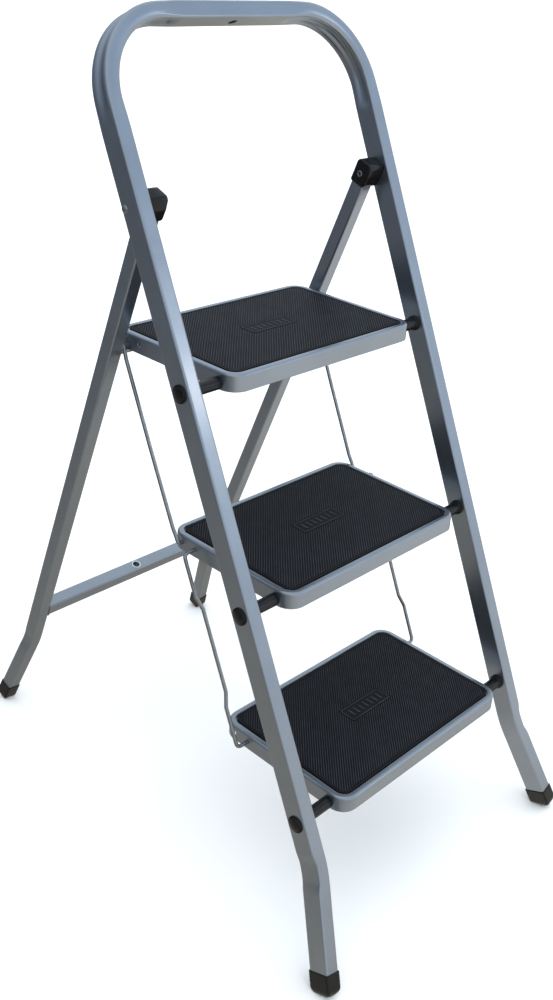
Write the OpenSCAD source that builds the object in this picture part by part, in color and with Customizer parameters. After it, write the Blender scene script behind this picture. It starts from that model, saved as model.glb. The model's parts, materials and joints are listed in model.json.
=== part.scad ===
// Folding household step ladder with three treads and a bent handrail.
// Millimetres. The origin is on the floor, in the middle of the ladder's box.
// +X is the user's right, +Y points to the rear frame, +Z is up.

/* [Front frame] */
// Width over the outer faces of the front legs
frame_w = 437; // [380:1:530]
// Lean of the front frame back from vertical, degrees
lean = 25.1; // [22:0.1:27]
// Width of the front tube, across the ladder
tube_w = 20; // [17:0.5:24]
// Depth of the front tube, front to rear
tube_d = 30; // [26:0.5:36]
// Wall of every steel tube
tube_wall = 1.2; // [1:0.1:2]
// Top of the handrail above the bottom axle, along the frame
handrail_up = 936.5; // [880:0.5:1120]
// Outer radius of the handrail's two bends
handrail_r = 104; // [85:1:125]
// Bend vertex of the front legs below the bottom axle, along the frame
flare_drop = 65; // [50:1:80]
// Outward bend of the front legs at the foot, degrees
flare = 12.5; // [8:0.5:15]
// Centre-line radius of the leg bends
flare_r = 150; // [100:5:180]

/* [Rear frame] */
// Side of the square rear tube
rear_tube = 20; // [17:0.5:24]
// Pivot above the bottom axle, along the frame
pivot_up = 725.5; // [715:0.5:760]
// Pivot behind the middle plane of the front frame
pivot_back = 9; // [6:0.5:9]
// Gap between a front leg's inner face and the rear leg beside it
pivot_gap = 5.9; // [4:0.1:8]
// Height of the crossbar's centre over the floor
crossbar_h = 191; // [150:1:220]
// Hole in the middle of the crossbar, diameter
crossbar_hole = 12; // [8:0.5:15]
// Height of the rear legs' bend vertex over the floor
rear_flare_h = 126; // [90:1:140]
// Outward bend of the rear legs at the foot, degrees
rear_flare = 10.5; // [6:0.5:13]
// Diameter of the cross rod under the top tread
rod_d = 8; // [6:0.5:8]
// Cross rod's centre ahead of the top tread's rear edge
rod_inset = 16; // [14:0.5:22]

/* [Treads] */
// Height of the bottom axle over the floor
axle_h = 192; // [160:1:220]
// Distance from axle to axle, along the frame
tread_pitch = 260; // [250:1:265]
// Depth of a tread, front to rear
tread_d = 212; // [200:1:220]
// Tread surface above its axle
tread_rise = 14.8; // [13:0.1:18]
// Front edge of a tread ahead of its axle
tread_nose = 26.2; // [20:0.1:32]
// Height of a tread's skirt
skirt_h = 22; // [21:0.5:27]
// Thickness of the pressed sheet
sheet = 1.2; // [1:0.1:2]
// Corner radius of a tread
tread_r = 22; // [15:1:30]
// Width of the steel rim around the mat
rim_w = 8; // [6:0.5:12]
// Depth of the recess that holds the mat
recess = 2.6; // [2:0.1:3.4]
// Thickness of the mat
mat_t = 3; // [2.4:0.1:4]

/* [Axles] */
// Diameter of an axle
axle_d = 9; // [7:0.5:10]
// Outer diameter of a spacer sleeve
sleeve_d = 13; // [12:0.5:15]
// Diameter of the sleeve's flange
flange_d = 20; // [17:0.5:24]
// Thickness of the sleeve's flange
flange_t = 2.5; // [2:0.1:4]
// Diameter of an end plug
plug_d = 22; // [18:0.5:25]
// Height of an end plug's dome
plug_h = 4.5; // [3.5:0.1:6]

/* [Links] */
// Diameter of the link wire
wire_d = 5; // [4:0.1:5]
// Rear link hole behind the axle
hole_rear = 163; // [155:0.5:163]
// Front link hole behind the axle
hole_front = 139; // [130:0.5:141]
// Link holes above the axle
hole_up = 4; // [2:0.1:6]
// Room for the upper links between a rear leg and the treads
link_room = 10.1; // [9.6:0.1:14]
// Upper links outside the tread's side
upper_out = 6.2; // [5.8:0.1:6.8]
// Lower links outside the tread's side at their ends
lower_out = 18; // [16:0.5:22]

/* [Feet and pivots] */
// Length of a front foot along the leg's front face
foot_len = 38; // [30:0.5:45]
// Length of a rear foot along the leg's rear face
rear_foot_len = 35; // [28:0.5:42]
// Wall of a foot outside its tube
foot_wall = 1.2; // [0.8:0.1:2]
// Corner radius of a foot
foot_r = 3; // [2:0.5:5]
// Rounding of a front foot's end, front and rear
foot_round = 12; // [8:0.5:12]
// Rounding of a front foot's end, at its sides
foot_side_round = 10; // [6:0.5:10]
// Rounding of a rear foot's end
rear_foot_round = 9; // [6:0.5:9]
// Sole under the lowest corner of a tube
foot_sole = 5; // [4:0.5:7]
// Diameter of a pivot rivet
rivet_d = 6; // [5:0.5:7]
// Diameter of a rivet's outer head
rivet_head_d = 10; // [9:0.5:11]
// Wall of a pivot cap
cap_wall = 2; // [1.6:0.1:2.6]

/* [Hidden] */
$fn = 96;

// Clearances
turn_gap = 0.08;    // radial, a shaft in its hole
side_gap = 0.3;     // between parts that pass each other
mat_gap = 0.3;      // around a mat in its recess
over = 1;           // how far a cut runs past a face
bend_steps = 6;     // straight steps in a leg's bend
rail_steps = 18;    // straight steps in a handrail bend
far = 3000;         // larger than the ladder

// Colours
paint = "#8f97a3";
plastic = "#1b1c1e";
rubber = "#232425";
zinc = "#b9bcc0";

// Front frame, across the ladder
inner_x = frame_w / 2 - tube_w;
leg_x = frame_w / 2 - tube_w / 2;
bend_rc = handrail_r - tube_w / 2;
rail_s = handrail_up - tube_w / 2;
sleeve_len = pivot_gap + rear_tube + link_room;
tread_w = frame_w - 2 * tube_w - 2 * sleeve_len;
tread_side = tread_w / 2;

// Rear frame, across the ladder
rear_x = inner_x - pivot_gap - rear_tube / 2;
rear_inner_x = rear_x - rear_tube / 2;
cap_inner_x = rear_inner_x - cap_wall;
cap_outer_x = inner_x - side_gap;

// Side view, measured from the bottom axle: y to the rear, z up
function side_y(s, depth) = s * sin(lean) + depth * cos(lean);
function side_z(s, depth) = s * cos(lean) - depth * sin(lean);
pivot_y = side_y(pivot_up, pivot_back);
pivot_z = side_z(pivot_up, pivot_back);
top_axle_y = side_y(2 * tread_pitch, 0);
top_axle_z = side_z(2 * tread_pitch, 0);
rod_back = tread_d - tread_nose - rod_inset;
rod_low = skirt_h - tread_rise + side_gap + rod_d / 2;
rod_y = top_axle_y + rod_back;
rod_z = top_axle_z - rod_low;
splay = atan2(rod_y - pivot_y, pivot_z - rod_z);

// Half width of a round-ended bar at a height over its end, and how far a foot reaches
// ahead of the place where its leg's centre line meets the floor
function reach(h, half, r) = h < r ? half - r + sqrt(r * r - pow(r - h, 2)) : half;
function toe(half_w, half_d, side_r, end_r, angle, tilt) = max([for (h = [0:0.25:end_r])
    reach(h, half_d, end_r) * cos(tilt)
        - (h * cos(angle) - (reach(h, half_w, side_r) - foot_r) * sin(angle)) * sin(tilt)]);

// Along a rear leg, down from the pivot
function rear_run(height) = (pivot_z + axle_h - height) / cos(splay);
rod_run = norm([rod_y - pivot_y, pivot_z - rod_z]);
crossbar_run = rear_run(crossbar_h);
rear_flare_run = rear_run(rear_flare_h);

// The bottom axle's place, with the box centred front to rear
front_most = -axle_h * tan(lean) - toe(tube_w / 2 + foot_wall, tube_d / 2 + foot_wall,
    foot_side_round, foot_round, flare, lean);
rear_most = pivot_y + (pivot_z + axle_h) * tan(splay) + toe(rear_tube / 2 + foot_wall,
    rear_tube / 2 + foot_wall, rear_foot_round, rear_foot_round, rear_flare, splay);
base_y = -(front_most + rear_most) / 2;

// Link holes seen along the frame
function hole_s(back) = back * sin(lean) + hole_up * cos(lean);
function hole_depth(back) = back * cos(lean) - hole_up * sin(lean);
upper_bow = 2.5;
link_turn = 16;
joggle_start = 56;
joggle_end = 74;
joggle_in = 6;
head_t = 1.5;
head_rim = 1.5;
head_d = wire_d + 2 * head_rim;
joint_swell = 0.1;

// A rounded rectangle, centred.
module section(w, d, r) {
    square([w - 2 * r, d], center = true);
    square([w, d - 2 * r], center = true);
    for (x = [-1, 1], y = [-1, 1]) {
        translate([x * (w / 2 - r), y * (d / 2 - r)]) circle(r);
    }
}

// Frame coordinates: x across, y to the rear of the frame's plane, z along the frame.
module in_frame() {
    translate([0, base_y, axle_h]) rotate([-lean, 0, 0]) children();
}

// Rear frame coordinates: the pivot is the origin, z runs up along the leg.
module in_rear_frame() {
    translate([0, base_y + pivot_y, axle_h + pivot_z]) rotate([splay, 0, 0]) children();
}

// Level coordinates: the axle of level 0, 1 or 2 is the origin.
module at_level(level) {
    s = level * tread_pitch;
    translate([0, base_y + side_y(s, 0), axle_h + side_z(s, 0)]) children();
}

module on_side(side) {
    if (side < 0) mirror([1, 0, 0]) children();
    else children();
}

module above_floor() {
    intersection() {
        children();
        translate([-far / 2, -far / 2, 0]) cube(far);
    }
}

// A cylinder along x from x1 to x2.
module rod(x1, x2, r) {
    translate([x1, 0, 0]) rotate([0, 90, 0]) cylinder(h = x2 - x1, r = r);
}

function tangent(angle) = flare_r * tan(angle / 2);

// Centre-line points of a leg's foot end, as [x, z, heading], from the foot up to the
// start of its bend. A heading of 0 points up, and a positive one leans to -x.
function foot_path(x, start_z, angle, run) = let(
    end_x = x + flare_r * (1 - cos(angle)),
    end_z = start_z - flare_r * sin(angle)
) concat(
    [[end_x + run * sin(angle), end_z - run * cos(angle), angle]],
    [for (i = [0:bend_steps]) let(a = angle * (1 - i / bend_steps))
        [x + flare_r * (1 - cos(a)), start_z - flare_r * sin(a), a]]
);

// The outline of a bar of width w along a path, run on by extra at both ends.
function side_point(p, off) = [p[0] + off * cos(p[2]), p[1] + off * sin(p[2])];
function run_on(p, far_by) = [p[0] - far_by * sin(p[2]), p[1] + far_by * cos(p[2]), p[2]];
module bar(path, w, d, extra) {
    last = len(path) - 1;
    line = [for (i = [0:last])
        i == 0 ? run_on(path[0], -extra) : i == last ? run_on(path[last], extra) : path[i]];
    outline = concat(
        [for (i = [0:last]) side_point(line[i], w / 2)],
        [for (i = [last:-1:0]) side_point(line[i], -w / 2)]
    );
    rotate([90, 0, 0]) linear_extrude(d, center = true) polygon(outline);
}

// A rectangular tube along a path.
module tube(path, w, d) {
    difference() {
        bar(path, w, d, 0);
        bar(path, w - 2 * tube_wall, d - 2 * tube_wall, over);
    }
}

// Front leg: where the bend starts, and how long its straight end is.
flare_z = -flare_drop + tangent(flare);
flare_end_z = flare_z - flare_r * sin(flare);
tube_end_z = (foot_sole + tube_d / 2 * sin(lean) - axle_h) / cos(lean) + tube_w / 2 * sin(flare);
flare_len = (flare_end_z - tube_end_z) / cos(flare);

// The front tube's line, from the right foot over the handrail to the left foot.
function right_half() = let(x0 = leg_x - bend_rc, z0 = rail_s - bend_rc) concat(
    foot_path(leg_x, flare_z, flare, flare_len),
    [for (i = [0:rail_steps]) let(a = 90 * i / rail_steps)
        [x0 + bend_rc * cos(a), z0 + bend_rc * sin(a), a]]
);
function mirrored(path) = [for (i = [len(path) - 1:-1:0])
    [-path[i][0], path[i][1], 180 - path[i][2]]];

module front_frame() {
    rail_hole_r = 2.5;
    color(paint) in_frame() difference() {
        tube(concat(right_half(), mirrored(right_half())), tube_w, tube_d);
        for (level = [0:2]) translate([0, 0, level * tread_pitch])
            rod(-frame_w, frame_w, axle_d / 2);
        translate([0, pivot_back, pivot_up]) rod(-frame_w, frame_w, rivet_d / 2);
        translate([0, 0, rail_s - tube_w / 2 - over])
            cylinder(h = tube_wall + 2 * over, r = rail_hole_r);
    }
}

module front_foot(side) {
    w = tube_w + 2 * foot_wall;
    d = tube_d + 2 * foot_wall;
    top_z = (-axle_h - tube_d / 2 * sin(lean)) / cos(lean) + foot_len;
    run = (flare_end_z - top_z) / cos(flare);
    reach_down = (flare_end_z + axle_h / cos(lean)) / cos(flare);
    color(plastic) above_floor() in_frame() on_side(side) difference() {
        flared_foot(leg_x, flare_end_z, flare, w, d, run, reach_down, foot_side_round,
            foot_round);
        bar(foot_path(leg_x, flare_z, flare, flare_len), tube_w, tube_d, 0);
    }
}

// A bar's side seen square to it, with its lower corners round.
module rounded_end(w, h, r) {
    translate([-w / 2, r]) square([w, h - r]);
    translate([-w / 2 + r, 0]) square([w - 2 * r, h]);
    for (x = [-1, 1]) translate([x * (w / 2 - r), r]) circle(r);
}

// A round-ended block on a flared end, between two distances down the straight part.
module flared_foot(x, end_z, angle, w, d, start, end, side_r, end_r) {
    end_x = x + flare_r * (1 - cos(angle));
    h = end - start;
    translate([end_x, 0, end_z]) rotate([0, -angle, 0]) translate([0, 0, -end])
        intersection() {
            linear_extrude(h) section(w, d, foot_r);
            rotate([90, 0, 0]) linear_extrude(2 * d, center = true) rounded_end(w, h, side_r);
            rotate([90, 0, 90]) linear_extrude(2 * w, center = true) rounded_end(d, h, end_r);
        }
}

// Rear leg: bend start, bend end, and tube end, all up along the leg from the pivot.
rear_flare_z = -rear_flare_run + tangent(rear_flare);
rear_flare_end_z = rear_flare_z - flare_r * sin(rear_flare);
rear_floor_z = -rear_run(0);
rear_tube_end_z = rear_floor_z + (foot_sole + rear_tube / 2 * sin(splay)) / cos(splay)
    + rear_tube / 2 * sin(rear_flare);
rear_flare_len = (rear_flare_end_z - rear_tube_end_z) / cos(rear_flare);
cap_up = 17;
cap_down = 15.5;
cap_round = 9;
cap_roof = 4;
rear_top = cap_up - cap_roof;

function rear_path() = concat(
    foot_path(rear_x, rear_flare_z, rear_flare, rear_flare_len),
    [[rear_x, rear_top, 0]]
);

module rear_leg(side) {
    color(paint) in_rear_frame() on_side(side) difference() {
        tube(rear_path(), rear_tube, rear_tube);
        rod(rear_inner_x - over, inner_x, rivet_d / 2 + turn_gap);
    }
}

module rear_crossbar() {
    color(paint) in_rear_frame() translate([0, 0, -crossbar_run]) difference() {
        tube([[rear_inner_x, 0, 90], [-rear_inner_x, 0, 90]], rear_tube, rear_tube);
        cylinder(h = rear_tube, r = crossbar_hole / 2);
    }
}

module cross_rod() {
    color(zinc) in_rear_frame() translate([0, 0, -rod_run])
        rod(-rear_inner_x, rear_inner_x, rod_d / 2);
}

module rear_foot(side) {
    w = rear_tube + 2 * foot_wall;
    top_z = rear_floor_z - w / 2 * tan(splay) + rear_foot_len;
    run = (rear_flare_end_z - top_z) / cos(rear_flare);
    reach_down = (rear_flare_end_z - rear_floor_z) / cos(rear_flare);
    color(plastic) above_floor() in_rear_frame() on_side(side) difference() {
        flared_foot(rear_x, rear_flare_end_z, rear_flare, w, w, run, reach_down,
            rear_foot_round, rear_foot_round);
        bar(foot_path(rear_x, rear_flare_z, rear_flare, rear_flare_len), rear_tube,
            rear_tube, 0);
    }
}

// A cap closes a rear leg's top and spaces it from the front leg.
module pivot_cap(side) {
    w = rear_tube + 2 * cap_wall;
    color(plastic) in_rear_frame() on_side(side) difference() {
        translate([cap_inner_x, 0, 0]) rotate([90, 0, 90])
            linear_extrude(cap_outer_x - cap_inner_x) union() {
                translate([-w / 2, -cap_down]) square([w, cap_down + cap_up - cap_round]);
                translate([-w / 2 + cap_round, 0]) square([w - 2 * cap_round, cap_up]);
                for (y = [-1, 1]) {
                    translate([y * (w / 2 - cap_round), cap_up - cap_round]) circle(cap_round);
                }
            }
        translate([rear_x, 0, -cap_down - over])
            linear_extrude(cap_down + rear_top + over) square(rear_tube, center = true);
        rod(cap_inner_x - over, cap_outer_x + over, rivet_d / 2 + turn_gap);
    }
}

module pivot_rivets() {
    head_h = 2.2;
    eyelet_rim = 1.2;
    eyelet_d = rivet_d + 2 * eyelet_rim;
    eyelet_t = 1;
    bore_r = rivet_d / 4;
    bore_deep = 8;
    inner_end = cap_inner_x - side_gap - eyelet_t;
    color(zinc) in_frame() for (side = [-1, 1]) on_side(side)
        translate([0, pivot_back, pivot_up]) difference() {
            union() {
                rod(inner_end, frame_w / 2, rivet_d / 2);
                rod(inner_end, inner_end + eyelet_t, eyelet_d / 2);
                translate([frame_w / 2, 0, 0]) dome(rivet_head_d / 2, head_h);
            }
            rod(inner_end - over, inner_end + bore_deep, bore_r);
        }
}

// A spherical cap of base radius r and height h, standing on +X.
module dome(r, h) {
    ball = (r * r + h * h) / (2 * h);
    rotate([0, 90, 0]) rotate_extrude() intersection() {
        translate([0, h - ball]) circle(ball);
        square([r, h]);
    }
}

module plate(w, d, r, z1, z2) {
    translate([0, 0, z1]) linear_extrude(z2 - z1) section(w, d, r);
}

// A pressed tray: skirt, rim, and a panel that sits lower for the mat.
module tread(level) {
    panel_w = tread_w - 2 * rim_w;
    panel_d = tread_d - 2 * rim_w;
    panel_r = tread_r - rim_w;
    bottom = tread_rise - skirt_h;
    color(paint) at_level(level) difference() {
        translate([0, tread_d / 2 - tread_nose, 0]) {
            difference() {
                plate(tread_w, tread_d, tread_r, bottom, tread_rise);
                plate(tread_w - 2 * sheet, tread_d - 2 * sheet, tread_r - sheet,
                    bottom - over, tread_rise - sheet);
                plate(panel_w, panel_d, panel_r, tread_rise - 2 * sheet, tread_rise + over);
            }
            difference() {
                plate(panel_w + 2 * sheet, panel_d + 2 * sheet, panel_r + sheet,
                    tread_rise - recess - sheet, tread_rise - sheet);
                plate(panel_w, panel_d, panel_r, tread_rise - recess, tread_rise + over);
            }
        }
        rod(-tread_w, tread_w, axle_d / 2 + turn_gap);
        for (back = [hole_rear, hole_front]) translate([0, back, hole_up])
            rod(-tread_w, tread_w, wire_d / 2 + turn_gap);
    }
}

module mat(level) {
    w = tread_w - 2 * rim_w - 2 * mat_gap;
    d = tread_d - 2 * rim_w - 2 * mat_gap;
    seat = tread_rise - recess;
    color(rubber) at_level(level) translate([0, tread_d / 2 - tread_nose, 0])
        plate(w, d, tread_r - rim_w - mat_gap, seat, seat + mat_t);
}

// Two bent strips under the top tread whose tongues stand behind the cross rod.
module latch_hooks() {
    strip_w = 30;
    strip_t = 2;
    spacing = 100;
    flange = 22;
    below_rod = 3;
    tongue = rod_low + rod_d / 2 + below_rod;
    top = tread_rise - recess - sheet;
    plate_y = rod_back + rod_d / 2 + side_gap;
    color(zinc) at_level(2) for (side = [-1, 1])
        translate([side * spacing - strip_w / 2, plate_y, 0]) {
            translate([0, 0, -tongue]) cube([strip_w, strip_t, tongue + top]);
            translate([0, strip_t - flange, top - strip_t]) cube([strip_w, flange, strip_t]);
        }
}

module axle(level) {
    into_plug = 2;
    color(zinc) at_level(level)
        rod(-frame_w / 2 - into_plug, frame_w / 2 + into_plug, axle_d / 2);
}

module sleeve(level, side) {
    color(plastic) at_level(level) on_side(side) difference() {
        union() {
            rod(tread_side + side_gap, inner_x, sleeve_d / 2);
            rod(inner_x - flange_t, inner_x, flange_d / 2);
        }
        rod(tread_side, inner_x + over, axle_d / 2);
    }
}

module plug(level, side) {
    rim_t = 1.2;
    into_plug = 2;
    color(plastic) at_level(level) on_side(side) difference() {
        union() {
            rod(frame_w / 2, frame_w / 2 + rim_t, plug_d / 2);
            translate([frame_w / 2 + rim_t, 0, 0]) dome(plug_d / 2, plug_h - rim_t);
        }
        rod(frame_w / 2 - over, frame_w / 2 + into_plug, axle_d / 2);
    }
}

// A wire through a list of points, with round joints and flat heads at its ends.
module wire(points) {
    last = len(points) - 1;
    for (i = [0:last - 1]) {
        a = points[i];
        step = points[i + 1] - a;
        turn = [0, acos(step[2] / norm(step)), atan2(step[1], step[0])];
        translate(a) rotate(turn) cylinder(h = norm(step), d = wire_d);
    }
    for (i = [1:last - 1]) translate(points[i]) sphere(d = wire_d + joint_swell);
    for (i = [0, last]) translate(points[i]) rod(-head_t, 0, head_d / 2);
}

// Points of a link in frame coordinates, from its upper hole to its lower hole.
function upper_points() = let(
    s = hole_s(hole_rear) + 2 * tread_pitch,
    depth = hole_depth(hole_rear),
    x0 = tread_side - sheet - side_gap,
    x = tread_side + upper_out
) [
    [x0, depth, s],
    [x, depth, s],
    [x, depth + upper_bow, s - link_turn],
    [x, depth + upper_bow, s - tread_pitch + link_turn],
    [x, depth, s - tread_pitch],
    [x0, depth, s - tread_pitch],
];

function lower_points() = let(
    s = hole_s(hole_front) + tread_pitch,
    depth = hole_depth(hole_front),
    x0 = tread_side - sheet - side_gap,
    x = tread_side + lower_out
) [
    [x0, depth, s],
    [x, depth, s],
    [x, depth, s - joggle_start],
    [x - joggle_in, depth, s - joggle_end],
    [x - joggle_in, depth, s - tread_pitch + joggle_end],
    [x, depth, s - tread_pitch + joggle_start],
    [x, depth, s - tread_pitch],
    [x0, depth, s - tread_pitch],
];

module upper_link(side) {
    color(zinc) in_frame() on_side(side) wire(upper_points());
}

module lower_link(side) {
    color(zinc) in_frame() on_side(side) wire(lower_points());
}

front_frame();
front_foot(-1);  // front_foot_left
front_foot(1);  // front_foot_right
pivot_rivets();
rear_leg(-1);  // rear_leg_left
rear_leg(1);  // rear_leg_right
rear_crossbar();
cross_rod();
rear_foot(-1);  // rear_foot_left
rear_foot(1);  // rear_foot_right
pivot_cap(-1);  // pivot_cap_left
pivot_cap(1);  // pivot_cap_right
tread(0);  // bottom_tread
tread(1);  // middle_tread
tread(2);  // top_tread
mat(0);  // bottom_mat
mat(1);  // middle_mat
mat(2);  // top_mat
latch_hooks();
axle(0);  // bottom_axle
axle(1);  // middle_axle
axle(2);  // top_axle
sleeve(0, -1);  // bottom_sleeve_left
sleeve(0, 1);  // bottom_sleeve_right
sleeve(1, -1);  // middle_sleeve_left
sleeve(1, 1);  // middle_sleeve_right
sleeve(2, -1);  // top_sleeve_left
sleeve(2, 1);  // top_sleeve_right
plug(0, -1);  // bottom_plug_left
plug(0, 1);  // bottom_plug_right
plug(1, -1);  // middle_plug_left
plug(1, 1);  // middle_plug_right
plug(2, -1);  // top_plug_left
plug(2, 1);  // top_plug_right
upper_link(-1);  // upper_link_left
upper_link(1);  // upper_link_right
lower_link(-1);  // lower_link_left
lower_link(1);  // lower_link_right
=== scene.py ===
"""A folding step ladder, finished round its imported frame: enamelled tubes and treads, ribbed mats,
moulded fittings and bright wire links. Lengths are metres, +X is the user's right, +Y the rear, +Z up."""

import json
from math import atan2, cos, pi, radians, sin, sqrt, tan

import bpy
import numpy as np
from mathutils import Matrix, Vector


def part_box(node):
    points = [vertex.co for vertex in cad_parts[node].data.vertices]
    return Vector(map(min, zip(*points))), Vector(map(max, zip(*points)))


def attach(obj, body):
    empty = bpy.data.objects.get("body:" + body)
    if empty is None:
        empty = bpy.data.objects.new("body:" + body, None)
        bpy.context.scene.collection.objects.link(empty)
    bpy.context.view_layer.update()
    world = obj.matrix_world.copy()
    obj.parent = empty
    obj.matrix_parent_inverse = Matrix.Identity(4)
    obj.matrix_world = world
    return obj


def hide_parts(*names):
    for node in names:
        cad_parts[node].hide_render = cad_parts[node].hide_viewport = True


bl_info = {
    "name": "Folding Step Ladder",
    "version": (1, 0, 0),
    "blender": (4, 5, 0),
    "location": "3D View > Sidebar > Step Ladder",
    "description": "Builds the tubes, treads, mats, fittings and links of a folding step ladder",
    "category": "Add Mesh",
}

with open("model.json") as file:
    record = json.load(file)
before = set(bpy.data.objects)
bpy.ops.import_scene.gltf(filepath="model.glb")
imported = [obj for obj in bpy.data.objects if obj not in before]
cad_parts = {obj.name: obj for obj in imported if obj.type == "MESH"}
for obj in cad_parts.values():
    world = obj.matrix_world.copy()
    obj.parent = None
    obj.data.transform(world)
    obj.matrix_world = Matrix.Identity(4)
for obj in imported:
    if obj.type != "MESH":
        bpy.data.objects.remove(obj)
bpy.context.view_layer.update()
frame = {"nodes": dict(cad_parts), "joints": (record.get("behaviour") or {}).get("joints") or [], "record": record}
BODY_OF = {node: body for body, nodes in frame["record"]["behaviour"]["bodies"].items() for node in nodes}

MM = 0.001
LEVELS = ("bottom", "middle", "top")
SIDES = {"left": -1, "right": 1}


# ---------------------------------------------------------------- places taken from the frame


def low(node):
    return np.array(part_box(node)[0])


def high(node):
    return np.array(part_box(node)[1])


def centre(node):
    return (low(node) + high(node)) / 2


def unit(vector):
    return vector / np.linalg.norm(vector)


ACROSS = np.array((1.0, 0.0, 0.0))
LEVEL_UP = np.array((0.0, 0.0, 1.0))
AXLES = [centre(f"{level}_axle") for level in LEVELS]
FRAME_UP = unit(AXLES[2] - AXLES[0])
PIVOT = centre("pivot_rivets")
ROD = centre("cross_rod")
REAR_UP = unit(PIVOT - ROD)
REAR_FLOOR = -PIVOT[2] / REAR_UP[2]
INNER_X = high("bottom_sleeve_right")[0]
REAR_INNER_X = high("cross_rod")[0]
TREAD_SIDE = high("top_tread")[0]
TREAD_FRONT = low("top_tread")[1] - AXLES[2][1]
TREAD_REAR = high("top_tread")[1] - AXLES[2][1]
TREAD_TOP = high("top_tread")[2] - AXLES[2][2]
TREAD_BOTTOM = low("top_tread")[2] - AXLES[2][2]


def placed(points, origin, up):
    """Local points (x across, y to the rear, z along up) carried to the ladder's place."""
    back = np.array((0.0, up[2], -up[1]))
    return origin + np.asarray(points) @ np.array((ACROSS, back, up))


def placed_shell(shell, origin, up, side=1):
    """A shell of local points put in its place, and mirrored first if it is on the left."""
    points, faces = shell
    return placed(points * (side, 1, 1), origin, up), faces


def joint_place(name):
    """Where a joint of the frame stands."""
    return np.array(next(joint["pos_m"] for joint in frame["joints"] if joint["name"] == name))


# ---------------------------------------------------------------- sizes a user would change


def length(name, description, default):
    return bpy.props.FloatProperty(
        name=name, description=description, default=default, min=0.0, unit="LENGTH", precision=5
    )


def linear(code):
    """An sRGB hex colour as linear red, green and blue."""
    parts = np.array([int(code[i : i + 2], 16) for i in (1, 3, 5)]) / 255
    return tuple(np.where(parts <= 0.04045, parts / 12.92, ((parts + 0.055) / 1.055) ** 2.4))


def colour(name, description, code):
    return bpy.props.FloatVectorProperty(
        name=name, description=description, default=linear(code), size=3, min=0, max=1, subtype="COLOR"
    )


class LadderTubes(bpy.types.PropertyGroup):
    """Steel tube sections and their bends."""

    width: length("Front tube width", "Side of the front tube across the ladder", 20 * MM)
    depth: length("Front tube depth", "Side of the front tube, front to rear", 30 * MM)
    corner: length("Front tube corner", "Outer corner radius of the front tube", 2.8 * MM)
    rail_radius: length("Handrail bend", "Outer radius of the handrail's two bends", 104 * MM)
    rail_groove: length("Handrail groove", "How far the side walls are pressed in at the bends", 3.6 * MM)
    rail_run_out: length("Groove run-out", "How far the inner groove runs on past a bend", 30 * MM)
    bend_radius: length("Leg bend", "Centre-line radius of the bends above the feet", 150 * MM)
    bend_dent: length("Leg dent", "How far the outer wall is pressed in at a leg's bend", 2.8 * MM)
    front_drop: length("Front bend drop", "Bend of a front leg below the bottom axle", 65 * MM)
    front_flare: bpy.props.FloatProperty(
        name="Front flare", description="Outward bend of a front leg", default=radians(12.5), unit="ROTATION"
    )
    rear_side: length("Rear tube", "Side of the square rear tube", 20 * MM)
    rear_corner: length("Rear tube corner", "Outer corner radius of the rear tube", 2.4 * MM)
    rear_height: length("Rear bend height", "Bend of a rear leg above the floor", 126 * MM)
    rear_flare: bpy.props.FloatProperty(
        name="Rear flare", description="Outward bend of a rear leg", default=radians(10.5), unit="ROTATION"
    )
    rail_hole: length("Handrail hole", "Drain hole under the middle of the handrail", 11 * MM)
    bar_hole: length("Crossbar hole", "Hole in the top of the crossbar", 12 * MM)
    weld: length("Weld bead", "Size of the weld beads round the crossbar's ends", 3 * MM)


class LadderTreads(bpy.types.PropertyGroup):
    """Pressed trays and the mats in them."""

    corner: length("Tread corner", "Corner radius of a tread", 22 * MM)
    edge: length("Tread edge", "Radius of the rolled upper edge", 3.4 * MM)
    sheet: length("Sheet", "Thickness of the pressed sheet", 1.2 * MM)
    rim: length("Rim", "Width of the steel rim round the mat", 8 * MM)
    recess: length("Recess", "Depth of the recess that holds the mat", 2.6 * MM)
    mat_gap: length("Mat gap", "Gap between a mat and its recess", 1.5 * MM)
    mat_border: length("Mat border", "Smooth border round the ribs", 4 * MM)
    rib_pitch: length("Rib pitch", "Distance from rib to rib across a mat", 3 * MM)
    rib_height: length("Rib height", "Height of a rib over the mat's base", 0.9 * MM)
    plaque_width: length("Plaque width", "Long side of the plain raised plaque", 76 * MM)
    plaque_depth: length("Plaque depth", "Short side of the plain raised plaque", 25 * MM)


class LadderFittings(bpy.types.PropertyGroup):
    """Moulded fittings, rivets and wire."""

    wire: length("Wire", "Diameter of the link wire", 5 * MM)
    wire_bend: length("Wire bend", "Bend radius of the link wire", 7 * MM)
    foot_round: length("Foot rounding", "Rounding of a front foot's end, front and rear", 12 * MM)
    front_boot: length("Front foot length", "Rim of a front foot above the leg's end", 30 * MM)
    rear_boot: length("Rear foot length", "Rim of a rear foot above the leg's end", 30 * MM)
    cap_nose: length("Cap nose", "Bulge of a pivot cap's front", 2.2 * MM)


class LadderFinishes(bpy.types.PropertyGroup):
    """Colours of the ladder's finishes."""

    enamel: colour("Silver enamel", "Stoved silver-grey enamel of tubes and treads", "#939ba6")
    plastic: colour("Black plastic", "Moulded fittings", "#090a0c")
    rubber: colour("Mat rubber", "Ribbed mats", "#111215")
    # Painted highlight: the lighter colour given to the crowns of the mats' ribs and the plaque, for light caught
    # on them.
    crown_highlight: colour("Rib crown highlight", "Crowns of the mats' ribs", "#303339")
    zinc: colour("Bright zinc", "Links, rivets and rods", "#94979a")
    scraped: colour("Bare steel", "Burr round the crossbar's hole", "#e6e8ea")
    paper: colour("Paper", "Backdrop under the ladder", "#f2f2f1")


# ---------------------------------------------------------------- surfaces


def arc(mid, radius, start, end, steps):
    """Points on a circle round mid, from one angle to another: mid plus radius times (cos, sin)."""
    angles = np.linspace(start, end, steps + 1)
    return np.asarray(mid) + radius * np.stack((np.cos(angles), np.sin(angles)), 1)


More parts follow.
